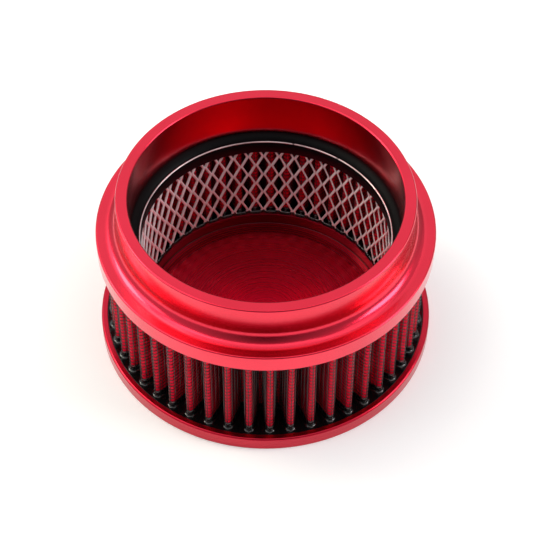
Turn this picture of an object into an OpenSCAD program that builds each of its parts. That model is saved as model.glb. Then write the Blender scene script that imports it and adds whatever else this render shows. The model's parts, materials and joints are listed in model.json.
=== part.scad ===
// Round open-top motorcycle air filter with a pleated cotton element.
// The origin is the centre of the base's underside, and +Z is the filter's axis, towards the outlet.
// All lengths are in millimetres and all angles in degrees.

/* [Overall] */
// Outer diameter of the outlet flange
flange_d = 140; // [136:0.5:141]
// Outer diameter of the base
base_d = 142; // [141:0.5:146]
// Height of the whole filter
total_h = 77.1; // [72:0.1:90]

/* [Outlet collar] */
// Inner diameter of the outlet
bore_d = 112; // [110:0.5:113]
// Wall thickness of the outlet spigot
spigot_wall = 5; // [3.5:0.1:5.5]
// Height of the spigot above the flange
spigot_h = 17.6; // [12:0.1:24]
// Radius of the fillet between the spigot and the flange
root_fillet_r = 5.5; // [2:0.1:6]
// Height of the flange's outer face
flange_h = 7.7; // [6:0.1:9]
// Thickness of the flange's plate
plate_t = 3; // [2:0.1:3.5]
// Thickness of the flange's skirt
skirt_t = 2.8; // [1.5:0.1:2.9]
// Size of the edge breaks on the spigot and the flange
edge_break = 0.5; // [0.2:0.1:1]

/* [Base] */
// Height of the base's outer lip
lip_h = 6.4; // [5:0.1:7]
// Thickness of the base's outer lip
lip_t = 2.8; // [1.5:0.1:3]
// Radius that rounds the top outer edge of the lip
lip_round_r = 0.9; // [0.3:0.1:1.2]
// Thickness of the base's floor
floor_t = 1.8; // [1.5:0.1:2.5]
// Inner diameter of the rib that the core sleeve stands on
rib_d = 104.6; // [104:0.1:105]
// Thickness of the rib
rib_t = 2.2; // [1.2:0.1:2.4]
// Height of the rib's top above the base's underside
rib_h = 7.4; // [5:0.1:8]

/* [Pleated pack] */
// Number of pleats
pleat_count = 48; // [40:1:50]
// Angle of the first pleat from +X
pleat_turn = 1.75; // [0:0.25:7.5]
// Diameter over the tips of the pleats
tip_d = 133.6; // [131:0.1:134]
// Outside radius of a pleat's tip
tip_r = 1.7; // [1.6:0.05:2.1]
// Diameter between the inner folds, on the clean side
fold_d = 106.6; // [106.3:0.1:108]
// Radius of an inner fold, on the clean side
fold_r = 2; // [1.7:0.05:2.4]
// Thickness of each wire screen
screen_t = 0.35; // [0.25:0.05:0.35]
// Thickness of each cotton ply
ply_t = 0.2; // [0.1:0.05:0.2]
// Height of the pack's lower edge above the base's underside
pack_low = 3; // [2.2:0.1:4]
// Height of the pack's upper edge above the base's underside
pack_high = 54.4; // [52:0.1:54.6]

/* [Core sleeve] */
// Inner diameter of the sleeve
sleeve_d = 104.3; // [104:0.1:104.6]
// Thickness of the expanded sheet
sleeve_t = 0.8; // [0.5:0.1:1]
// Number of diamond openings around the sleeve
diamond_count = 49; // [40:1:60]
// Height of one diamond, from strand middle to strand middle
diamond_h = 11.4; // [10:0.1:13]
// Number of staggered rows of diamonds
diamond_rows = 8; // [3:1:8]
// Height of the lowest row's middle above the base's underside
diamond_low = 10.8; // [9:0.1:16]
// Angle of the lowest row's first diamond from +X
diamond_turn = 6.75; // [0:0.25:9]
// Width of the strands
strand_w = 0.9; // [0.6:0.1:1.4]
// Height of the sleeve's upper edge above the base's underside
sleeve_high = 53.2; // [50:0.1:53.4]
// Thickness of the potting between the rib and the sleeve's lower edge
sleeve_bed = 0.6; // [0.3:0.1:1]

/* [Potting] */
// Inner diameter of the upper potting ring
ring_d = 103.6; // [103:0.1:104]
// Height at which the upper ring's inner wall starts
ring_low = 48; // [46:0.1:50]
// Height of the lip around the upper ring's inner edge
ring_lip_z = 54.2; // [53.8:0.1:55]
// Depth of the upper ring's surface inside the skirt
skirt_reveal = 0.5; // [0:0.1:1]
// Height of the lower ring's surface inside the base's lip
pool_z = 5.9; // [5:0.1:6.3]
// Height of the lower ring around the foot of the sleeve
foot_z = 9.4; // [8:0.1:11]

/* [Hidden] */
$fn = 96;

anodised_red = "#d8192f";
potting_black = "#141414";
screen_black = "#2a2224";
cotton_red = "#a8122a";
sheet_silver = "#c8b4bc";

flange_r = flange_d / 2;
base_r = base_d / 2;
bore_r = bore_d / 2;
spigot_r = bore_r + spigot_wall;
skirt_r = flange_r - skirt_t;
lip_r = base_r - lip_t;
rib_r = rib_d / 2;
sleeve_r = sleeve_d / 2;
sleeve_out_r = sleeve_r + sleeve_t;
sleeve_low = rib_h + sleeve_bed;
ring_r = ring_d / 2;

flange_z = total_h - spigot_h;
plate_z = flange_z - plate_t;
skirt_z = flange_z - flange_h;

// The pack's plies are counted from the dirty side inwards
ply_count = 4;
pack_t = 2 * screen_t + ply_count * ply_t;
tip_centre = tip_d / 2 - tip_r;
fold_centre = fold_d / 2 + fold_r;
half_pitch = 180 / pleat_count;

// Flat facets around a tip and around a fold
tip_steps = 6;
fold_steps = 4;

// Direction of the straight flank between a tip and the fold beside it
to_fold = [fold_centre * cos(half_pitch) - tip_centre, fold_centre * sin(half_pitch)];
radius_sum = tip_r + fold_r - pack_t;
flank_angle = atan2(to_fold.y, to_fold.x) - acos(radius_sum / norm(to_fold));

// Seam strip, in the gap inside one pleat on the -Y side
seam_pleat = 36;
seam_t = 0.4;
seam_low_r = 55.2;
seam_high_r = 63.6;

// Radius of the bead on the upper ring's inner edge
lip_bead_r = 0.35;

// How far a cut or a hidden surface runs past the face that it meets
past = 1;

function polar(r, a) = [r * cos(a), r * sin(a)];

// One pleat's tip and the fold after it, on the surface at depth below the dirty side
function pleat_points(k, depth) =
    let (turn = pleat_turn + k * 2 * half_pitch)
    let (fold_turn = turn + half_pitch)
    let (fold_sweep = flank_angle - half_pitch)
    concat(
        [for (i = [0:tip_steps])
            polar(tip_centre, turn)
            + polar(tip_r - depth, turn + flank_angle * (2 * i / tip_steps - 1))],
        [for (i = [0:fold_steps])
            polar(fold_centre, fold_turn)
            + polar(fold_r - pack_t + depth, fold_turn + 180 + fold_sweep * (1 - 2 * i / fold_steps))]
    );

// The closed outline of the pack's surface at a depth below its dirty side
function pleat_outline(depth) = [for (k = [0:pleat_count - 1]) each pleat_points(k, depth)];

// A folded sheet between two depths, standing from low to high
module folded_sheet(depth, thickness, low, high) {
    outside = pleat_outline(depth);
    inside = pleat_outline(depth + thickness);
    count = len(outside);
    translate([0, 0, low])
        linear_extrude(high - low)
            polygon(
                points = concat(outside, inside),
                paths = [[for (i = [0:count - 1]) i], [for (i = [0:count - 1]) count + i]]
            );
}

// The whole pack as one solid, which the potting is cast around
module pack_block(low, high) {
    folded_sheet(0, pack_t, low, high);
}

module cotton_ply(number) {
    color(cotton_red)
        folded_sheet(screen_t + (number - 1) * ply_t, ply_t, pack_low, pack_high);
}

// A small triangle that breaks a square corner of a turned outline
module corner(x, z, toward_x, toward_z) {
    polygon([
        [x - toward_x * past, z - toward_z * past],
        [x + toward_x * (edge_break + past), z - toward_z * past],
        [x - toward_x * past, z + toward_z * (edge_break + past)]
    ]);
}

module outlet_collar() {
    color(anodised_red)
        rotate_extrude()
            difference() {
                union() {
                    translate([bore_r, plate_z])
                        square([spigot_wall, total_h - plate_z]);
                    translate([bore_r, plate_z])
                        square([flange_r - bore_r, plate_t]);
                    translate([skirt_r, skirt_z])
                        square([skirt_t, flange_h]);
                    translate([bore_r, flange_z])
                        square([spigot_wall + root_fillet_r, root_fillet_r]);
                }
                translate([spigot_r + root_fillet_r, flange_z + root_fillet_r])
                    circle(root_fillet_r);
                corner(bore_r, total_h, 1, -1);
                corner(spigot_r, total_h, -1, -1);
                corner(flange_r, flange_z, -1, -1);
            }
}

module base_cap() {
    color(anodised_red)
        rotate_extrude()
            difference() {
                union() {
                    square([base_r, floor_t]);
                    translate([lip_r, 0])
                        square([lip_t - lip_round_r, lip_h]);
                    translate([lip_r, 0])
                        square([lip_t, lip_h - lip_round_r]);
                    translate([base_r - lip_round_r, lip_h - lip_round_r])
                        circle(lip_round_r);
                    translate([rib_r, 0])
                        square([rib_t, rib_h]);
                }
                corner(base_r, 0, -1, 1);
            }
}

module upper_potting_ring() {
    color(potting_black)
        difference() {
            rotate_extrude()
                difference() {
                    union() {
                        polygon([
                            [ring_r, ring_low],
                            [sleeve_out_r + past, ring_low],
                            [fold_centre, skirt_z + skirt_reveal],
                            [skirt_r, skirt_z + skirt_reveal],
                            [skirt_r, plate_z],
                            [bore_r, plate_z],
                            [ring_r + lip_bead_r, ring_lip_z],
                            [ring_r, ring_lip_z]
                        ]);
                        translate([ring_r + lip_bead_r, ring_lip_z])
                            circle(lip_bead_r);
                    }
                    translate([sleeve_r, 0])
                        square([sleeve_t, sleeve_high]);
                }
            pack_block(0, pack_high);
        }
}

module lower_potting_ring() {
    color(potting_black)
        difference() {
            rotate_extrude()
                difference() {
                    polygon([
                        [rib_r + rib_t, floor_t],
                        [lip_r, floor_t],
                        [lip_r, pool_z],
                        [fold_centre, pool_z],
                        [sleeve_out_r + past, foot_z],
                        [ring_r, foot_z],
                        [ring_r, rib_h],
                        [rib_r + rib_t, rib_h]
                    ]);
                    translate([sleeve_r, sleeve_low])
                        square([sleeve_t, total_h]);
                }
            pack_block(pack_low, total_h);
        }
}

module outer_wire_screen() {
    color(screen_black)
        folded_sheet(0, screen_t, pack_low, pack_high);
}

module inner_wire_screen() {
    color(screen_black)
        folded_sheet(pack_t - screen_t, screen_t, pack_low, pack_high);
}

module seam_strip() {
    color(sheet_silver)
        rotate(pleat_turn + seam_pleat * 2 * half_pitch)
            translate([seam_low_r, -seam_t / 2, foot_z])
                cube([seam_high_r - seam_low_r, seam_t, ring_low - foot_z]);
}

// A sleeve of expanded sheet, its diamonds cut straight through the wall
module core_sleeve() {
    pitch = 360 / diamond_count;
    half_w = PI * (sleeve_d + sleeve_t) / diamond_count / 2;
    half_h = diamond_h / 2;
    shrink = 1 - strand_w / 2 * norm([half_w, half_h]) / (half_w * half_h);
    color(sheet_silver)
        difference() {
            translate([0, 0, sleeve_low])
                cylinder(h = sleeve_high - sleeve_low, r = sleeve_out_r);
            cylinder(h = total_h, r = sleeve_r);
            for (row = [0:diamond_rows - 1], i = [0:diamond_count - 1])
                rotate(diamond_turn + (i + (row % 2) / 2) * pitch)
                    translate([sleeve_r - past, 0, diamond_low + row * half_h])
                        rotate([90, 0, 90])
                            linear_extrude(sleeve_t + 2 * past)
                                polygon([
                                    [half_w * shrink, 0],
                                    [0, half_h * shrink],
                                    [-half_w * shrink, 0],
                                    [0, -half_h * shrink]
                                ]);
        }
}

outlet_collar();
upper_potting_ring();
outer_wire_screen();
cotton_ply(1);  // cotton_ply_1
cotton_ply(2);  // cotton_ply_2
cotton_ply(3);  // cotton_ply_3
cotton_ply(4);  // cotton_ply_4
inner_wire_screen();
seam_strip();
core_sleeve();
lower_potting_ring();
base_cap();
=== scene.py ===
"""Looks of a round motorcycle air filter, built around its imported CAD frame.

Lengths in the shape code are millimetres, as in the CAD source, and become metres when a mesh
is made. The materials, the lights and the camera use metres.
"""

import json
import math

import bpy
import numpy as np
from mathutils import Matrix, Vector


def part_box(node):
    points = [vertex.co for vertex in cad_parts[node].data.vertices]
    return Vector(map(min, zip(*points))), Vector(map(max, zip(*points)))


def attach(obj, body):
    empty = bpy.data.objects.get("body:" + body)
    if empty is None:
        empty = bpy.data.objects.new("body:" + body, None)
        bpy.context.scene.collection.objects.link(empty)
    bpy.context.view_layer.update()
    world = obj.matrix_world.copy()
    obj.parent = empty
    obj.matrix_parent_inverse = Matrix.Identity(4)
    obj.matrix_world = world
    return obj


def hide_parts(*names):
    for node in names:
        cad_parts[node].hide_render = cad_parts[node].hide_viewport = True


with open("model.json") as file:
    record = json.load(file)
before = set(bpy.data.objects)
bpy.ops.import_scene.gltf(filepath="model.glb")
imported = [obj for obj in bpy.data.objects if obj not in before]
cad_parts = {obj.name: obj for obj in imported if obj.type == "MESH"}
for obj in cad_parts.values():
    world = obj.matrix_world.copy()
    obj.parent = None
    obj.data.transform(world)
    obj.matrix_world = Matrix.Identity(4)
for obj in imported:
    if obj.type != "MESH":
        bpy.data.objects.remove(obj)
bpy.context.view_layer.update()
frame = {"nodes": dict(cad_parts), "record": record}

MM = 0.001
TAU = 2 * math.pi
BODY = "root"
rng = np.random.default_rng(7)


# --- Sizes read from the frame, in millimetres ---


def node_reach(node):
    """(largest radius, lowest z, highest z) of a CAD node."""
    low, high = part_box(node)
    return high.x / MM, low.z / MM, high.z / MM


def mount_radius(name):
    mounts = {m["name"]: m for m in frame["record"]["mounts"]}
    return mounts[name]["dims"]["r_mm"]


FLANGE_R, SKIRT_Z, TOP_Z = node_reach("outlet_collar")
BASE_R, _, RIB_Z = node_reach("base_cap")
_, PACK_LOW, PACK_HIGH = node_reach("outer_wire_screen")
SLEEVE_OUT_R, SLEEVE_LOW, SLEEVE_HIGH = node_reach("core_sleeve")
SKIRT_IN_R, RING_LOW, PLATE_Z = node_reach("upper_potting_ring")
LIP_IN_R, FLOOR_Z, FOOT_Z = node_reach("lower_potting_ring")
BORE_R = mount_radius("outlet_bore")
SPIGOT_R = mount_radius("outlet_spigot")

# --- Sizes that the frame's boxes don't give, in millimetres and degrees ---

SPIGOT_H = 17.6
FLANGE_Z = TOP_Z - SPIGOT_H
FILLET_R = 5.5
COLLAR_EDGE_R = 0.7
LIP_Z = 6.4
RIB_R = 52.3
RIB_OUT_R = 54.5
POOL_Z = 5.9
UNDERSIDE_Z = 1.2
RING_R = 51.8
BEAD_R = 52.16
BEAD_Z = 54.2

PLEATS = 48
PLEAT_TURN = 1.75
TIP_CENTRE = 65.1
TIP_R = 1.7
FOLD_CENTRE = 55.3
FOLD_R = 2.0
PACK_T = 1.5
GAUZE_LOW = 5.2
GAUZE_HIGH = 53.2
SCREEN_T = 0.35
PLY_T = 0.2

DIAMONDS = 49
DIAMOND_TURN = 6.75
DIAMOND_LOW = 10.8
DIAMOND_H = 11.4


# --- Mesh making ---

LATHE_STEPS = 288
ROUNDING_STEPS = 7


def make_piece(name, points, quads, material, replaces=(), normals=None, triangles=()):
    """A mesh piece from points in millimetres, riding on the filter's only body."""
    points = np.asarray(points, float) * MM
    quads = np.asarray(quads, np.int32).reshape(-1, 4)
    triangles = np.asarray(triangles, np.int32).reshape(-1, 3)
    mesh = bpy.data.meshes.new(name)
    mesh.vertices.add(len(points))
    mesh.vertices.foreach_set("co", points.astype(np.float32).ravel())
    mesh.loops.add(quads.size + triangles.size)
    mesh.loops.foreach_set("vertex_index", np.concatenate([quads.ravel(), triangles.ravel()]))
    mesh.polygons.add(len(quads) + len(triangles))
    starts = [
        np.arange(len(quads)) * 4,
        quads.size + np.arange(len(triangles)) * 3,
    ]
    mesh.polygons.foreach_set("loop_start", np.concatenate(starts).astype(np.int32))
    mesh.update(calc_edges=True)
    mesh.validate()
    mesh.polygons.foreach_set("use_smooth", np.ones(len(mesh.polygons), bool))
    if normals is not None:
        mesh.normals_split_custom_set_from_vertices([Vector(n) for n in normals])
    mesh.materials.append(material)
    piece = bpy.data.objects.new(name, mesh)
    bpy.context.scene.collection.objects.link(piece)
    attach(piece, BODY)
    if replaces:
        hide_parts(*replaces)
    return piece


def ring_quads(rings, around, closed):
    """Quads between neighbouring rings of points, each ring closed on itself."""
    i = np.arange(rings if closed else rings - 1)[:, None]
    j = np.arange(around)[None, :]
    upper, right = (i + 1) % rings, (j + 1) % around
    corners = [i * around + j, i * around + right, upper * around + right, upper * around + j]
    return np.stack([np.broadcast_to(c, (len(i), around)) for c in corners], -1).reshape(-1, 4)


def tube_faces(count, length, sides, closed):
    """Quads and end caps of count equal tubes, whose rings face along the line that they follow."""
    quads = ring_quads(length, sides, closed)
    fan = np.arange(1, sides - 1)
    hub = np.zeros_like(fan)
    start = np.stack([hub, fan + 1, fan], -1)
    end = np.stack([hub, fan, fan + 1], -1) + (length - 1) * sides
    caps = np.concatenate([start, end])
    if closed:
        caps = caps[:0]
    shifts = np.arange(count)[:, None, None] * length * sides
    return (quads + shifts).reshape(-1, 4), (caps + shifts).reshape(-1, 3)


def make_ring_stack(name, rings, material, replaces=()):
    """A closed solid from a closed loop of rings, each an array of points round the axis."""
    rings = np.asarray(rings)
    quads = ring_quads(len(rings), rings.shape[1], closed=True)
    return make_piece(name, rings.reshape(-1, 3), quads, material, replaces)


def rounded_profile(corners, closed):
    """Points and outward normals of a turned outline.

    The corners are (radius, z, rounding), anticlockwise in the (radius, z) plane.
    """
    points, normals = [], []
    count = len(corners)
    for k, (r, z, rounding) in enumerate(corners):
        here = np.array([r, z])
        before = np.array(corners[k - 1][:2])
        after = np.array(corners[(k + 1) % count][:2])
        if not closed and k in (0, count - 1):
            other = after if k == 0 else before
            along = (other - here) if k == 0 else (here - other)
            along = along / np.linalg.norm(along)
            points.append(here)
            normals.append(np.array([along[1], -along[0]]))
            continue
        arriving = (here - before) / np.linalg.norm(here - before)
        leaving = (after - here) / np.linalg.norm(after - here)
        turn = arriving[0] * leaving[1] - arriving[1] * leaving[0]
        half = math.acos(np.clip(arriving @ leaving, -1, 1)) / 2
        start = here - arriving * rounding * math.tan(half)
        side = math.copysign(1, turn)
        inward = side * np.array([-arriving[1], arriving[0]])
        centre = start + inward * rounding
        spoke = -inward
        for i in range(ROUNDING_STEPS + 1):
            swing = side * 2 * half * i / ROUNDING_STEPS
            c, s = math.cos(swing), math.sin(swing)
            direction = np.array([c * spoke[0] - s * spoke[1], s * spoke[0] + c * spoke[1]])
            points.append(centre + direction * rounding)
            normals.append(direction * side)
    return np.array(points), np.array(normals)


def make_lathe(name, corners, material, replaces, closed=True):
    """A turned solid. An open outline starts and ends on the axis."""
    points, normals = rounded_profile(corners, closed)
    around = LATHE_STEPS
    angles = np.arange(around) * TAU / around
    c, s = np.cos(angles), np.sin(angles)

    def spin(pair):
        r, z = pair
        return np.stack([r * c, r * s, np.full(around, z)], -1)

    if closed:
        rings = np.concatenate([spin(p) for p in points])
        directions = np.concatenate([spin(n) for n in normals])
        quads = ring_quads(len(points), around, closed=True)
        return make_piece(name, rings, quads, material, replaces, directions)

    inner = range(1, len(points) - 1)
    rings = np.concatenate([spin(points[k]) for k in inner])
    directions = np.concatenate([spin(normals[k]) for k in inner])
    poles = np.array([[0, 0, points[0][1]], [0, 0, points[-1][1]]])
    pole_directions = np.array([[0, 0, normals[0][1]], [0, 0, normals[-1][1]]])
    quads = ring_quads(len(inner), around, closed=False)
    low_pole, high_pole = len(rings), len(rings) + 1
    last = len(rings) - around
    j = np.arange(around)
    right = (j + 1) % around
    fans = np.concatenate([
        np.stack([np.full(around, low_pole), right, j], -1),
        np.stack([np.full(around, high_pole), last + j, last + right], -1),
    ])
    return make_piece(
        name,
        np.concatenate([rings, poles]),
        quads,
        material,
        replaces,
        np.concatenate([directions, pole_directions]),
        fans,
    )


# --- The fold line of the pleated pack ---

HALF_PITCH = math.pi / PLEATS
TIP_MID_R = TIP_R - PACK_T / 2
FOLD_MID_R = FOLD_R - PACK_T / 2
FOLD_POINT = FOLD_CENTRE * np.array([math.cos(HALF_PITCH), math.sin(HALF_PITCH)])
TO_FOLD = FOLD_POINT - np.array([TIP_CENTRE, 0])
FLANK = math.atan2(TO_FOLD[1], TO_FOLD[0])
FLANK -= math.acos((TIP_MID_R + FOLD_MID_R) / np.hypot(*TO_FOLD))
TIP_LENGTH = FLANK * TIP_MID_R
FLANK_LENGTH = math.sqrt(TO_FOLD @ TO_FOLD - (TIP_MID_R + FOLD_MID_R) ** 2)
FOLD_LENGTH = (FLANK - HALF_PITCH) * FOLD_MID_R
HALF_LENGTH = TIP_LENGTH + FLANK_LENGTH + FOLD_LENGTH


def half_pleat(s):
    """A point of the pack's middle line and the angle of its dirty-side normal.

    The point lies s millimetres along the line, from a tip towards a fold.
    """
    if s <= TIP_LENGTH:
        a = s / TIP_MID_R
        return np.array([TIP_CENTRE, 0]) + TIP_MID_R * np.array([math.cos(a), math.sin(a)]), a
    normal = np.array([math.cos(FLANK), math.sin(FLANK)])
    if s <= TIP_LENGTH + FLANK_LENGTH:
        along = np.array([math.sin(FLANK), -math.cos(FLANK)])
        start = np.array([TIP_CENTRE, 0]) + TIP_MID_R * normal
        return start - along * (s - TIP_LENGTH) * math.copysign(1, along[0]), FLANK
    a = FLANK - (s - TIP_LENGTH - FLANK_LENGTH) / FOLD_MID_R
    return FOLD_POINT - FOLD_MID_R * np.array([math.cos(a), math.sin(a)]), a


def fold_line(steps):
    """Points and dirty-side normals of the pack's whole middle line, steps of them per pleat."""
    points, normals = [], []
    for i in range(steps):
        s = 2 * HALF_LENGTH * i / steps
        mirrored = s > HALF_LENGTH
        point, a = half_pleat(2 * HALF_LENGTH - s if mirrored else s)
        normal = np.array([math.cos(a), math.sin(a)])
        if mirrored:
            m = 2 * HALF_PITCH
            flip = np.array([[math.cos(m), math.sin(m)], [math.sin(m), -math.cos(m)]])
            point, normal = flip @ point, flip @ normal
        points.append(point)
        normals.append(normal)
    turns = math.radians(PLEAT_TURN) + np.arange(PLEATS) * 2 * HALF_PITCH
    spins = np.array([[[math.cos(t), math.sin(t)], [-math.sin(t), math.cos(t)]] for t in turns])
    points = (np.array(points)[None] @ spins).reshape(-1, 2)
    normals = (np.array(normals)[None] @ spins).reshape(-1, 2)
    return points, normals


WANDER_CYCLES = (5, 23)
WANDER_WAVES = 7
WANDER = [
    (rng.integers(*WANDER_CYCLES), rng.uniform(0, TAU), rng.uniform(0, TAU))
    for _ in range(WANDER_WAVES)
]
MOST_WANDER = 0.0022
MOST_STRETCH = 0.0018


def settle(points):
    """Lets the pack's tips lean and stand a little unevenly, while its folds stay put."""
    points = np.array(points, float)
    r = np.hypot(points[..., 0], points[..., 1])
    angle = np.arctan2(points[..., 1], points[..., 0])
    rise = (points[..., 2] - PACK_LOW) / (PACK_HIGH - PACK_LOW)
    outward = np.clip((r - FOLD_CENTRE) / (TIP_CENTRE - FOLD_CENTRE), 0, 1)
    lean = sum(np.sin(n * angle + a + 2 * rise * math.sin(b)) for n, a, b in WANDER) / len(WANDER)
    reach = sum(np.sin(n * angle + b + a) for n, a, b in WANDER) / len(WANDER)
    angle = angle + 2 * MOST_WANDER * outward * lean
    r = r * (1 + MOST_STRETCH * outward * (reach - 1))
    points[..., 0], points[..., 1] = r * np.cos(angle), r * np.sin(angle)
    return points


# --- Materials ---


class Graph:
    """A node material being built around one Principled shader."""

    def __init__(self, name, **values):
        self.material = bpy.data.materials.new(name)
        self.material.use_nodes = True
        self.tree = self.material.node_tree
        self.shader = self.tree.nodes["Principled BSDF"]
        for socket, value in values.items():
            self.shader.inputs[socket.replace("_", " ")].default_value = value
        self.place = self.add("ShaderNodeTexCoord").outputs["Object"]

    def add(self, kind, inputs=None, **settings):
        node = self.tree.nodes.new(kind)
        for key, value in settings.items():
            setattr(node, key, value)
        for key, value in (inputs or {}).items():
            if isinstance(value, bpy.types.NodeSocket):
                self.tree.links.new(value, node.inputs[key])
            else:
                node.inputs[key].default_value = value
        return node

    def math(self, operation, a, b=0.0):
        return self.add("ShaderNodeMath", {0: a, 1: b}, operation=operation).outputs[0]

    def noise(self, scale, detail=2.0, roughness=0.5, vector=None):
        place = vector or self.place
        inputs = {"Vector": place, "Scale": scale, "Detail": detail, "Roughness": roughness}
        return self.add("ShaderNodeTexNoise", inputs).outputs["Fac"]

    def turned_place(self):
        """(distance from the axis, z), the coordinates along which a lathe's marks lie."""
        split = self.add("ShaderNodeSeparateXYZ", {0: self.place})
        across = {0: split.outputs[0], 1: split.outputs[1]}
        flat = self.add("ShaderNodeCombineXYZ", across).outputs[0]
        radius = self.add("ShaderNodeVectorMath", {0: flat}, operation="LENGTH").outputs["Value"]
        return self.add("ShaderNodeCombineXYZ", {0: radius, 1: split.outputs[2]}).outputs[0]

    def ramp(self, factor, low, high):
        """A factor from 0 to 1 as a value from low to high."""
        inputs = {"Value": factor, "To Min": low, "To Max": high}
        return self.add("ShaderNodeMapRange", inputs).outputs[0]

    def colours(self, factor, *stops):
        """A colour ramp through (position, colour) stops."""
        node = self.add("ShaderNodeValToRGB", {0: factor})
        elements = node.color_ramp.elements
        while len(elements) < len(stops):
            elements.new(0.5)
        for element, (position, colour) in zip(elements, stops, strict=True):
            element.position = position
            element.color = (*colour, 1)
        return node.outputs["Color"]

    def drive(self, socket, value):
        self.tree.links.new(value, self.shader.inputs[socket])

    def bump(self, height, distance, strength=1.0, after=None):
        inputs = {"Height": height, "Distance": distance, "Strength": strength}
        if after is not None:
            inputs["Normal"] = after
        return self.add("ShaderNodeBump", inputs).outputs[0]


# Noise scales count per metre, and bump distances are metres.

THREAD_GAP = 0.0005
THREADS_ROUND = 1100.0


def anodised(name, deep, bright, roughness, coat, painted_shade_zones=()):
    """Red anodised aluminium with fine lathe marks.

    Painted shade zones of (radius, brightness) darken it outwards. The underside is as bright as
    the last one.
    """
    g = Graph(name, Metallic=1.0, Coat_Weight=coat, Coat_Roughness=0.16)
    turned = g.turned_place()
    fine = g.noise(4000, 2, 0.6, turned)
    broad = g.noise(1100, 2, 0.5, turned)
    clouds = g.noise(35, 3)
    red = g.colours(clouds, (0.3, deep), (0.7, bright))
    # Painted shade: the brightness changes with radius, and the underside takes the last zone's.
    if painted_shade_zones:
        split = g.add("ShaderNodeSeparateXYZ", {0: turned})
        underside = g.math("LESS_THAN", split.outputs[1], UNDERSIDE_Z * MM)
        reach = g.math("MAXIMUM", g.math("DIVIDE", split.outputs[0], BASE_R * MM), underside)
        shade = g.colours(reach, *[(r / BASE_R, (value,) * 3) for r, value in painted_shade_zones])
        red = g.add("ShaderNodeVectorMath", {0: red, 1: shade}, operation="MULTIPLY").outputs[0]
    g.drive("Base Color", red)
    marks = g.math("ADD", g.math("MULTIPLY", fine, 0.3), broad)
    g.drive("Roughness", g.ramp(marks, roughness - 0.06, roughness + 0.06))
    g.drive("Normal", g.bump(marks, 0.000005, 0.35))
    return g.material


def potting(name, roughness, gloss):
    """Cast black polyurethane, slightly uneven. A gloss of 0.5 is that of plain plastic."""
    g = Graph(name, Base_Color=(0.003, 0.003, 0.0035, 1), Specular_IOR_Level=gloss)
    swell = g.noise(260, 2)
    pits = g.noise(2600, 3, 0.6)
    g.drive("Roughness", g.ramp(pits, roughness, roughness + 0.12))
    soft = g.bump(swell, 0.0003, 0.5)
    g.drive("Normal", g.bump(pits, 0.00002, 0.5, soft))
    return g.material


def painted_highlight_bead(name):
    """The potting's fine inner bead, coloured light grey and half metallic as a painted highlight
    along its black edge.
    """
    g = Graph(name, Metallic=0.55, Coat_Weight=1.0, Coat_Roughness=0.08)
    highlight_patches = g.noise(90, 3)
    g.drive("Base Color", g.colours(highlight_patches, (0.3, (0.45, 0.38, 0.39)), (0.7, (0.8, 0.72, 0.73))))
    g.drive("Roughness", g.ramp(highlight_patches, 0.3, 0.2))
    return g.material


def epoxy_wire(name):
    """Wire with a thick black epoxy coat that pools unevenly."""
    g = Graph(name, Coat_Weight=0.6, Coat_Roughness=0.1)
    beads = g.noise(1500, 2)
    blacks = [(0.3, (0.004, 0.003, 0.004)), (0.8, (0.02, 0.014, 0.016))]
    g.drive("Base Color", g.colours(beads, *blacks))
    g.drive("Roughness", g.ramp(beads, 0.2, 0.4))
    g.drive("Normal", g.bump(beads, 0.00006, 0.7))
    return g.material


def cotton(name):
    """Oiled red cotton gauze: crossed threads with the oil's wet sheen, blotched by the oil."""
    g = Graph(name, Metallic=0.5, Roughness=0.45, Specular_IOR_Level=0.2)
    oil = g.noise(120, 3, 0.6)
    fibres = g.noise(5000, 3, 0.7)
    split = g.add("ShaderNodeSeparateXYZ", {0: g.place})
    around = g.math("ARCTAN2", split.outputs[1], split.outputs[0])
    threads_up = g.math("SINE", g.math("MULTIPLY", split.outputs[2], TAU / THREAD_GAP))
    threads_across = g.math("SINE", g.math("MULTIPLY", around, THREADS_ROUND))
    weave = g.math("MULTIPLY", g.math("ADD", threads_up, threads_across), 0.25)
    height = g.math("ADD", weave, g.math("MULTIPLY", fibres, 0.6))
    # The oil blotches the red, and the threads' height lightens their tops and darkens the grooves
    # between them as painted shade.
    shade = g.math("ADD", g.math("MULTIPLY", oil, 0.7), g.math("MULTIPLY", height, 0.25))
    reds = [(0.1, (0.5, 0.001, 0.014)), (0.4, (0.86, 0.003, 0.034)), (0.75, (0.98, 0.008, 0.07))]
    g.drive("Base Color", g.colours(shade, *reds))
    g.drive("Normal", g.bump(height, 0.00008, 0.6))
    return g.material


def bare_metal(name, tint, roughness):
    """Bright sheet metal with faint rolling marks and dull patches."""
    g = Graph(name, Metallic=0.15, Specular_IOR_Level=0.8)
    patches = g.noise(400, 3, 0.6)
    marks = g.noise(4000, 2)
    dull = tuple(0.8 * c for c in tint)
    g.drive("Base Color", g.colours(patches, (0.3, dull), (0.7, tint)))
    g.drive("Roughness", g.ramp(patches, roughness - 0.06, roughness + 0.1))
    g.drive("Normal", g.bump(marks, 0.00002, 0.5))
    return g.material


COLLAR_RED = anodised("anodised_collar", (0.78, 0.004, 0.036), (0.84, 0.006, 0.044), 0.22, 0.75)
# Painted shade on the base: the dish stays clear red, the rib is painted near black as shade at the
# core's foot, and the lip and outer wall are painted darker as shade near the floor.
BASE_PAINTED_SHADE_ZONES = [(RIB_R - 0.6, 1.0), (RIB_R - 0.2, 0.06), (RIB_OUT_R, 0.06), (RIB_OUT_R + 1.0, 0.6)]
BASE_REDS = [(0.86, 0.002, 0.036), (0.94, 0.004, 0.046)]
BASE_RED = anodised("anodised_base", *BASE_REDS, 0.26, 0.4, BASE_PAINTED_SHADE_ZONES)
RING_BLACK = potting("upper_potting", 0.4, 0.06)
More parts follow.
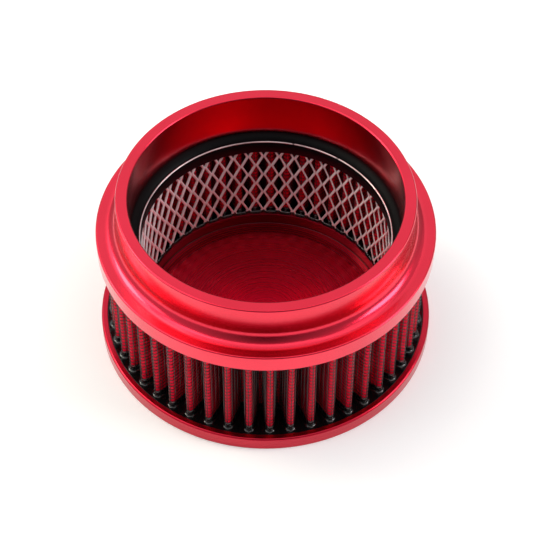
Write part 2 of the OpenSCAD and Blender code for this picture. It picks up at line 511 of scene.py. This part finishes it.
# The bead's light grey is a painted highlight.
BEAD_PAINTED_HIGHLIGHT = painted_highlight_bead("upper_bead")
POOL_BLACK = potting("lower_potting", 0.06, 0.75)
OUTER_WIRE = epoxy_wire("outer_gauze_wire")
INNER_WIRE = epoxy_wire("inner_gauze_wire")
OUTER_COTTON = cotton("outer_cotton")
INNER_COTTON = cotton("inner_cotton")
# The sheet's pink tint is a painted reflection of the red parts around it.
SHEET_METAL = bare_metal("expanded_sheet", (1.0, 0.92, 0.94), 0.35)
STRIP_METAL = bare_metal("seam_metal", (0.7, 0.7, 0.72), 0.35)


# --- Metal ends ---


def make_collar():
    corners = [
        (BORE_R, PLATE_Z, 0.2),
        (SKIRT_IN_R, PLATE_Z, 0.5),
        (SKIRT_IN_R, SKIRT_Z, 0.25),
        (FLANGE_R, SKIRT_Z, 0.3),
        (FLANGE_R, FLANGE_Z, COLLAR_EDGE_R),
        (SPIGOT_R, FLANGE_Z, FILLET_R),
        (SPIGOT_R, TOP_Z, COLLAR_EDGE_R),
        (BORE_R, TOP_Z, COLLAR_EDGE_R),
    ]
    return make_lathe("collar_turned", corners, COLLAR_RED, ["outlet_collar"])


def make_base():
    corners = [
        (0, 0, 0),
        (BASE_R, 0, 0.4),
        (BASE_R, LIP_Z, 0.9),
        (LIP_IN_R, LIP_Z, 0.3),
        (LIP_IN_R, FLOOR_Z, 0.3),
        (RIB_OUT_R, FLOOR_Z, 0.3),
        (RIB_OUT_R, RIB_Z, 0.4),
        (RIB_R, RIB_Z, 0.4),
        (RIB_R, FLOOR_Z, 0.35),
        (0, FLOOR_Z, 0),
    ]
    return make_lathe("base_turned", corners, BASE_RED, ["base_cap"], closed=False)


# --- Pleated pack ---

CLOTH_STEPS = 30
CLOTH_LEVELS = 15
CLOTH_INSET = 0.03
CLOTH_RIPPLE = 0.02


def offset_ring(points, normals, depth, z):
    """The pack's surface at a depth below its dirty side, as one ring at height z."""
    depth = np.broadcast_to(np.asarray(depth, float), (len(points),))
    height = np.broadcast_to(np.asarray(z, float), (len(points),))
    flat = points + normals * (PACK_T / 2 - depth)[:, None]
    return np.column_stack([flat, height])


def make_folded_cloth(name, depth, material, replaces):
    """A cotton ply as a thin closed sheet, a little rippled between the wires."""
    points, normals = fold_line(CLOTH_STEPS)
    heights = np.linspace(PACK_LOW, PACK_HIGH, CLOTH_LEVELS)
    ripple = rng.normal(0, CLOTH_RIPPLE, (len(heights), len(points)))
    front = [
        settle(offset_ring(points, normals, depth + CLOTH_INSET + r, z))
        for z, r in zip(heights, ripple, strict=True)
    ]
    back = [settle(offset_ring(points, normals, depth + PLY_T, z)) for z in heights[::-1]]
    return make_ring_stack(name, front + back, material, replaces)


WIRES_PER_PLEAT = 18
HOOP_STEPS = 2
LEVELS = 24
LEVEL_H = (GAUZE_HIGH - GAUZE_LOW) / (LEVELS - 1)
LEVEL_HEIGHTS = GAUZE_LOW + np.arange(LEVELS) * LEVEL_H
WIRE_R = 0.18
CRIMP = 0.18
WIRE_SIDES = 3
GAUZE_PIECES = 2


def wire_rings(line, out):
    """Rings of points round many wires, from their middle lines and the way out of the gauze."""
    along = np.gradient(line, axis=1)
    side = np.cross(along, out)
    side /= np.linalg.norm(side, axis=2, keepdims=True)
    turns = (np.arange(WIRE_SIDES) + 0.5) * TAU / WIRE_SIDES
    c, s = np.cos(turns)[:, None], np.sin(turns)[:, None]
    return settle(line[:, :, None] + WIRE_R * (c * out[:, :, None] + s * side[:, :, None]))


def wire_lines(points, normals, depth, weave, height):
    """Middle lines of many wires, and the way out of the gauze at each of their points.

    A weave of 1 is as far out as a wire goes, and -1 as far in.
    """
    shift = PACK_T / 2 - depth + CRIMP * weave
    flat = points + normals * shift[:, :, None]
    height = height[:, :, None]
    out = np.broadcast_to(normals, flat.shape)
    lines = np.concatenate([flat, height], axis=2)
    return lines, np.concatenate([out, np.zeros_like(height)], axis=2)


def hoop_wires(depth):
    """The wires round the filter, in and out of every pleat and over every second upright."""
    points, normals = fold_line(HOOP_STEPS * WIRES_PER_PLEAT)
    shape = (LEVELS, len(points))
    height = np.broadcast_to(LEVEL_HEIGHTS[:, None], shape)
    weave = np.broadcast_to(np.cos(np.arange(len(points)) * math.pi / HOOP_STEPS), shape)
    return wire_lines(points[None], normals[None], depth, weave, height)


def upright_wires(depth):
    """The wires that run up the filter, by turns inside and outside the hoops."""
    points, normals = fold_line(WIRES_PER_PLEAT)
    shape = (len(points), LEVELS)
    height = np.broadcast_to(LEVEL_HEIGHTS, shape)
    weave = np.broadcast_to(-((-1.0) ** np.arange(len(points))[:, None]), shape)
    return wire_lines(points[:, None], normals[:, None], depth, weave, height)


def make_gauze(name, depth, material, replaces):
    """Woven wire folded with the cotton. The record's slot for it has the same name."""
    for direction, wires, closed in [
        ("hoop", hoop_wires(depth), True),
        ("upright", upright_wires(depth), False),
    ]:
        shares = np.array_split(wire_rings(*wires), GAUZE_PIECES)
        for number, share in enumerate(shares, start=1):
            quads, caps = tube_faces(*share.shape[:3], closed=closed)
            wire_name = f"{name}_{direction}_{number}"
            points = share.reshape(-1, 3)
            make_piece(wire_name, points, quads, material, replaces, triangles=caps)


# --- Expanded metal core ---

STRAND_W = 1.15
STRAND_T = 0.55
STRAND_BEVEL = 0.13
STRAND_TILT = math.radians(35)
STRAND_MID_R = SLEEVE_OUT_R - 0.4
STRAND_STEPS = 10
# Over 1, so that two strands run side by side for a short way where they join.
SWING_GAIN = 1.16
# From a strand's middle to the line where it joins its neighbour, as a share of its width.
JOIN_SHARE = 0.46
# How much of the tilt is pressed out where strands join.
JOIN_FLATTENING = 0.5


def strand_section():
    """A flat strand's outline, across it and through it, with its corners broken."""
    w, t, b = STRAND_W / 2, STRAND_T / 2, STRAND_BEVEL
    quarter = [(w, t - b), (w - b, t)]
    half = quarter + [(-x, y) for x, y in quarter[::-1]]
    return np.array(half + [(-x, -y) for x, y in half])


def strand_line(number):
    """Angles, heights and nearness to a join, from 0 to 1, up one strand's zigzag middle line."""
    pitch = TAU / DIAMONDS
    half_h = DIAMOND_H / 2
    rise = np.arange(0, SLEEVE_HIGH - SLEEVE_LOW, half_h / STRAND_STEPS)
    z = SLEEVE_LOW + rise
    phase = (z - DIAMOND_LOW) / half_h
    wave = np.abs((phase % 2) - 1) * 2 - 1
    swing = np.clip(wave * SWING_GAIN, -1, 1)
    reach = pitch / 4 - JOIN_SHARE * STRAND_W / STRAND_MID_R
    side = 1 if number % 2 == 0 else -1
    middle = math.radians(DIAMOND_TURN) + (number + 0.5) * pitch / 2
    return middle + side * swing * reach, z, np.abs(swing)


def make_expanded_core():
    """A rolled sheet of strands that all lean the same way round, as the press leaves them."""
    section = strand_section()
    strands = []
    for number in range(2 * DIAMONDS):
        angle, z, joined = strand_line(number)
        level = np.zeros_like(z)
        radial = np.column_stack([np.cos(angle), np.sin(angle), level])
        around = np.column_stack([-np.sin(angle), np.cos(angle), level])
        middle = radial * STRAND_MID_R + np.array([0, 0, 1.0]) * z[:, None]
        along = np.gradient(middle, axis=0)
        along /= np.linalg.norm(along, axis=1, keepdims=True)
        tilt = (STRAND_TILT * (1 - JOIN_FLATTENING * joined**6))[:, None]
        through = radial * np.cos(tilt) - around * np.sin(tilt)
        through -= along * np.sum(through * along, axis=1, keepdims=True)
        through /= np.linalg.norm(through, axis=1, keepdims=True)
        across = np.cross(through, along)
        rings = middle[:, None] + section[None, :, :1] * across[:, None]
        strands.append(rings + section[None, :, 1:] * through[:, None])
    strands = np.array(strands)
    quads, caps = tube_faces(*strands.shape[:3], closed=False)
    return make_piece(
        "expanded_core",
        strands.reshape(-1, 3),
        quads,
        SHEET_METAL,
        ["core_sleeve"],
        triangles=caps,
    )


# --- Potting ---

POTTING_STEPS = 32
POTTING_POINTS, POTTING_NORMALS = fold_line(POTTING_STEPS)
EVEN_STEPS = np.arange(len(POTTING_POINTS)) * TAU / len(POTTING_POINTS)
EVEN_ANGLES = EVEN_STEPS + math.radians(PLEAT_TURN)


def pack_rings(levels):
    """Rings that follow the pack's folds, from the depth below its dirty side and z of each."""
    return [settle(offset_ring(POTTING_POINTS, POTTING_NORMALS, depth, z)) for depth, z in levels]


def circle_ring(angles, radius, z):
    radius = np.broadcast_to(np.asarray(radius, float), angles.shape)
    z = np.broadcast_to(np.asarray(z, float), angles.shape)
    return np.column_stack([radius * np.cos(angles), radius * np.sin(angles), z])


def around_noise(angles, cycles, count, seed):
    """Smooth unevenness round the axis, from -1 to 1."""
    draw = np.random.default_rng(seed)
    total = np.zeros_like(angles)
    for _ in range(count):
        total += np.sin(angles * draw.integers(*cycles) + draw.uniform(0, TAU))
    return total / count


def ring_angles(ring):
    return np.arctan2(ring[:, 1], ring[:, 0])


def make_lower_potting():
    """Polyurethane cast in the base, a pool that climbs the pleats and a foot round the core."""
    even = EVEN_ANGLES
    wet_edge = 2.4 + 0.5 * around_noise(even, cycles=(60, 400), count=9, seed=3)
    climb = [(0.12, wet_edge), (0.1, 1.5), (0.02, 0.85), (-0.2, 0.38), (-0.5, 0.12), (-0.9, 0.0)]
    outer = pack_rings([(depth, POOL_Z + rise) for depth, rise in climb])
    facing = ring_angles(outer[-1])
    outer += [
        circle_ring(facing, LIP_IN_R - 0.25, POOL_Z + 0.03),
        circle_ring(facing, LIP_IN_R, POOL_Z + 0.18),
        circle_ring(facing, LIP_IN_R, FLOOR_Z),
    ]
    knuckle = np.cos((even - math.radians(DIAMOND_TURN) - TAU / DIAMONDS / 2) * DIAMONDS)
    lumps = around_noise(even, cycles=(90, 300), count=7, seed=5)
    crest = FOOT_Z + 0.45 + 0.75 * np.clip(knuckle, 0, 1) ** 2 + 0.25 * lumps
    foot = [
        circle_ring(even, RIB_OUT_R, FLOOR_Z),
        circle_ring(even, RIB_OUT_R, RIB_Z),
        circle_ring(even, RIB_R + 0.05, RIB_Z),
        circle_ring(even, RIB_R - 0.35, RIB_Z + 0.15 + 0.1 * lumps),
        circle_ring(even, RIB_R - 0.62 - 0.12 * lumps, RIB_Z + 0.7),
        circle_ring(even, RIB_R - 0.7 - 0.15 * lumps, RIB_Z + 1.3 + 0.15 * lumps),
        circle_ring(even, RIB_R - 0.55, crest - 0.9),
        circle_ring(even, RIB_R - 0.35, crest - 0.3),
        circle_ring(even, RIB_R - 0.12, crest),
        circle_ring(even, SLEEVE_OUT_R - 0.1, crest + 0.1),
        circle_ring(even, SLEEVE_OUT_R + 0.15, crest - 0.5),
    ]
    inner = pack_rings([(PACK_T, FOOT_Z + 0.6), (PACK_T - 0.02, FOOT_Z + 1.6)])
    rings = (outer + foot + inner)[::-1]
    slot, nodes = "lower_potting", ["lower_potting_ring"]
    return make_ring_stack("lower_potting", rings, POOL_BLACK, nodes)


def make_upper_potting():
    """Polyurethane cast in the collar: a crowned ledge over the pack's clean side."""
    even = EVEN_ANGLES
    under = SKIRT_Z + 0.5
    wet_edge = 2.0 + 0.5 * around_noise(even, cycles=(60, 400), count=9, seed=13)
    climb = [(0.02, wet_edge), (0.0, 1.3), (-0.12, 0.7), (-0.3, 0.35), (-0.55, 0.12), (-0.95, 0.0)]
    outer = pack_rings([(depth, under - drop) for depth, drop in climb])
    facing = ring_angles(outer[-1])
    outer += [
        circle_ring(facing, SKIRT_IN_R - 0.1, under),
        circle_ring(facing, SKIRT_IN_R, under - 0.1),
        circle_ring(facing, SKIRT_IN_R, PLATE_Z),
    ]
    # (radius, z) down the ledge's rounded top, its inner wall and its lower edge.
    crown = [
        (BORE_R, PLATE_Z),
        (BORE_R - 0.05, PLATE_Z + 0.02),
        (55.3, 56.42),
        (54.5, 56.1),
        (53.7, 55.62),
        (53.0, 55.02),
        (52.75, 54.62),
        (52.5, 54.3),
        (BEAD_R, 54.05),
        (RING_R, 53.9),
        (RING_R, 52.5),
        (RING_R, RING_LOW + 0.4),
        (RING_R + 0.15, RING_LOW + 0.08),
        (RING_R + 0.5, RING_LOW),
        (SLEEVE_OUT_R + 0.2, RING_LOW + 0.1),
    ]
    ledge = [circle_ring(even, r, z) for r, z in crown]
    inner = pack_rings([(PACK_T, RING_LOW - 0.2), (PACK_T - 0.02, RING_LOW - 1.2)])
    rings = outer + ledge + inner
    slot, nodes = "upper_potting", ["upper_potting_ring"]
    return make_ring_stack("upper_potting", rings, RING_BLACK, nodes)


BEAD_WIRE_R = 0.34
BEAD_SIDES = 12
BEAD_STEP = 0.25
BEAD_NICKS = [77, 54]
NICK_HALF_WIDTH = 0.5
NICK_DEPTH = 0.8


def make_upper_bead():
    """The bead round the ledge's inner edge, nicked in two places. Its angles are degrees."""
    angles = np.arange(0, 360, BEAD_STEP)
    thickness = np.ones_like(angles)
    for place in BEAD_NICKS:
        thickness -= NICK_DEPTH * np.exp(-(((angles - place) / NICK_HALF_WIDTH) ** 2))
    around = np.radians(angles)
    rings = []
    for turn in np.arange(BEAD_SIDES) * TAU / BEAD_SIDES:
        radius = BEAD_R + BEAD_WIRE_R * thickness * math.cos(turn)
        height = BEAD_Z + BEAD_WIRE_R * thickness * math.sin(turn)
        rings.append(circle_ring(around, radius, height))
    slot, nodes = "upper_potting", ["upper_potting_ring"]
    return make_ring_stack("upper_bead", rings, BEAD_PAINTED_HIGHLIGHT, nodes)


# --- Floor, lights and camera ---


LIT_POINT = Vector((0, 0, 0.05))
LIGHT_DISTANCE = 1.6
WARM = (1, 0.98, 0.78)
FLOOR_HALF = 4.0
FLOOR_GLOW = 0.13


def add_floor():
    """White paper that glows a little, so that it stays near white."""
    sides = [(-1, -1), (1, -1), (1, 1), (-1, 1)]
    mesh = bpy.data.meshes.new("floor")
    mesh.from_pydata([(x * FLOOR_HALF, y * FLOOR_HALF, 0) for x, y in sides], [], [(0, 1, 2, 3)])
    g = Graph("floor_paper", Base_Color=(0.95, 0.95, 0.95, 1), Roughness=0.9)
    g.shader.inputs["Emission Color"].default_value = (1, 1, 1, 1)
    g.shader.inputs["Emission Strength"].default_value = FLOOR_GLOW
    mesh.materials.append(g.material)
    floor = bpy.data.objects.new("floor", mesh)
    bpy.context.scene.collection.objects.link(floor)


def add_softbox(name, azimuth, elevation, size, radiance, colour=(1, 1, 1)):
    """A soft light on the filter from a direction in degrees, azimuth counted from +X."""
    a, e = math.radians(azimuth), math.radians(elevation)
    direction = Vector((math.cos(a) * math.cos(e), math.sin(a) * math.cos(e), math.sin(e)))
    light = bpy.data.lights.new(name, "AREA")
    light.shape = "RECTANGLE"
    light.size, light.size_y = size
    light.energy = radiance * math.pi * light.size * light.size_y
    light.color = colour
    lamp = bpy.data.objects.new(name, light)
    lamp.location = LIT_POINT + direction * LIGHT_DISTANCE
    lamp.rotation_euler = direction.to_track_quat("Z", "Y").to_euler()
    bpy.context.scene.collection.objects.link(lamp)


def add_world(even, glows):
    """A dim white room. Each glow (axis, side, strength) brightens it towards one side."""
    world = bpy.data.worlds.new("studio")
    world.use_nodes = True
    tree = world.node_tree
    background = tree.nodes["Background"]
    background.inputs["Color"].default_value = (1, 1, 1, 1)
    direction = tree.nodes.new("ShaderNodeTexCoord").outputs["Generated"]
    split = tree.nodes.new("ShaderNodeSeparateXYZ")
    tree.links.new(direction, split.inputs[0])
    total = None
    for axis, side, strength in glows:
        facing = tree.nodes.new("ShaderNodeMath")
        facing.operation = "MULTIPLY"
        facing.use_clamp = True
        tree.links.new(split.outputs[axis], facing.inputs[0])
        facing.inputs[1].default_value = side
        share = tree.nodes.new("ShaderNodeMath")
        share.operation = "MULTIPLY_ADD"
        tree.links.new(facing.outputs[0], share.inputs[0])
        share.inputs[1].default_value = strength
        share.inputs[2].default_value = even
        if total is not None:
            tree.links.new(total, share.inputs[2])
        total = share.outputs[0]
    tree.links.new(total, background.inputs["Strength"])
    bpy.context.scene.world = world


# Angles in degrees, and the lens and sensor in millimetres.
CAMERA_DISTANCE = 10.24 * FLANGE_R * MM
CAMERA_ELEVATION = 48.14
CAMERA_YAW = -0.027
CAMERA_PITCH = -1.414
CAMERA_ROLL = -0.287
CAMERA_LENS = 117.74
SENSOR_WIDTH = 36


def add_camera():
    """A camera in front that looks down at the flange, turned a little to frame the filter."""
    elevation = math.radians(CAMERA_ELEVATION)
    target = Vector((0, 0, FLANGE_Z * MM))
    back = Vector((0, -math.cos(elevation), math.sin(elevation)))
    forward, right = -back, Vector((1, 0, 0))
    up = right.cross(forward)
    yaw = Matrix.Rotation(math.radians(CAMERA_YAW), 3, up)
    forward, right = yaw @ forward, yaw @ right
    pitch = Matrix.Rotation(math.radians(CAMERA_PITCH), 3, right)
    forward, up = pitch @ forward, pitch @ up
    roll = Matrix.Rotation(math.radians(CAMERA_ROLL), 3, forward)
    right, up = roll @ right, roll @ up
    data = bpy.data.cameras.new("camera")
    data.lens = CAMERA_LENS
    data.sensor_width = SENSOR_WIDTH
    camera = bpy.data.objects.new("camera", data)
    axes = Matrix((right, up, -forward)).transposed().to_4x4()
    camera.matrix_world = Matrix.Translation(target + back * CAMERA_DISTANCE) @ axes
    bpy.context.scene.collection.objects.link(camera)
    bpy.context.scene.camera = camera


def add_studio():
    """Paper, a dim room and softboxes, each with its azimuth, elevation, size and radiance."""
    add_floor()
    add_world(0.01, [("X", -1, 0.58), ("X", 1, 0.44), ("Y", 1, 0.09), ("Z", 1, 0.2)])
    add_softbox("back", 90, 42, (1.8, 0.9), 0.68)
    add_softbox("back_high", 90, 70, (1.6, 0.7), 0.62)
    add_softbox("overhead", -90, 85, (1.2, 0.6), 0.8)
    add_softbox("front_high", -90, 69, (1.2, 0.4), 1.2)
    add_softbox("left_key", 160, 42, (0.5, 0.5), 8.6, WARM)
    add_softbox("left_key_edge", 140, 42, (0.5, 0.5), 1.6)
    add_softbox("left_high", 150, 62, (0.6, 0.5), 2.1, WARM)
    add_softbox("left_front", 185, 35, (0.6, 0.5), 2.1)
    add_softbox("left_front_high", 200, 60, (0.6, 0.5), 2.1)
    add_softbox("right_back", 30, 42, (0.8, 0.7), 0.2)
    add_softbox("right_high", 0, 62, (0.8, 0.6), 0.9)
    add_softbox("right_key", -5, 30, (0.8, 0.6), 6.8)
    scene = bpy.context.scene
    scene.view_settings.view_transform = "Standard"
    scene.view_settings.look = "None"


# --- The filter ---


def finish_hidden_nodes():
    """Gives the CAD nodes that stay their own materials."""
    for node, material, slot in [
        ("cotton_ply_2", OUTER_COTTON, "cotton"),
        ("cotton_ply_3", INNER_COTTON, "cotton"),
        ("seam_strip", STRIP_METAL, "seam_metal"),
    ]:
        carried = frame["nodes"][node]
        carried.data.materials.clear()
        carried.data.materials.append(material)


add_camera()
add_studio()
make_collar()
make_base()
make_folded_cloth("cotton_outer", SCREEN_T, OUTER_COTTON, ["cotton_ply_1"])
make_folded_cloth("cotton_inner", PACK_T - SCREEN_T - PLY_T, INNER_COTTON, ["cotton_ply_4"])
make_gauze("outer_gauze", SCREEN_T / 2, OUTER_WIRE, ["outer_wire_screen"])
make_gauze("inner_gauze", PACK_T - SCREEN_T / 2, INNER_WIRE, ["inner_wire_screen"])
make_expanded_core()
make_lower_potting()
make_upper_potting()
make_upper_bead()
finish_hidden_nodes()
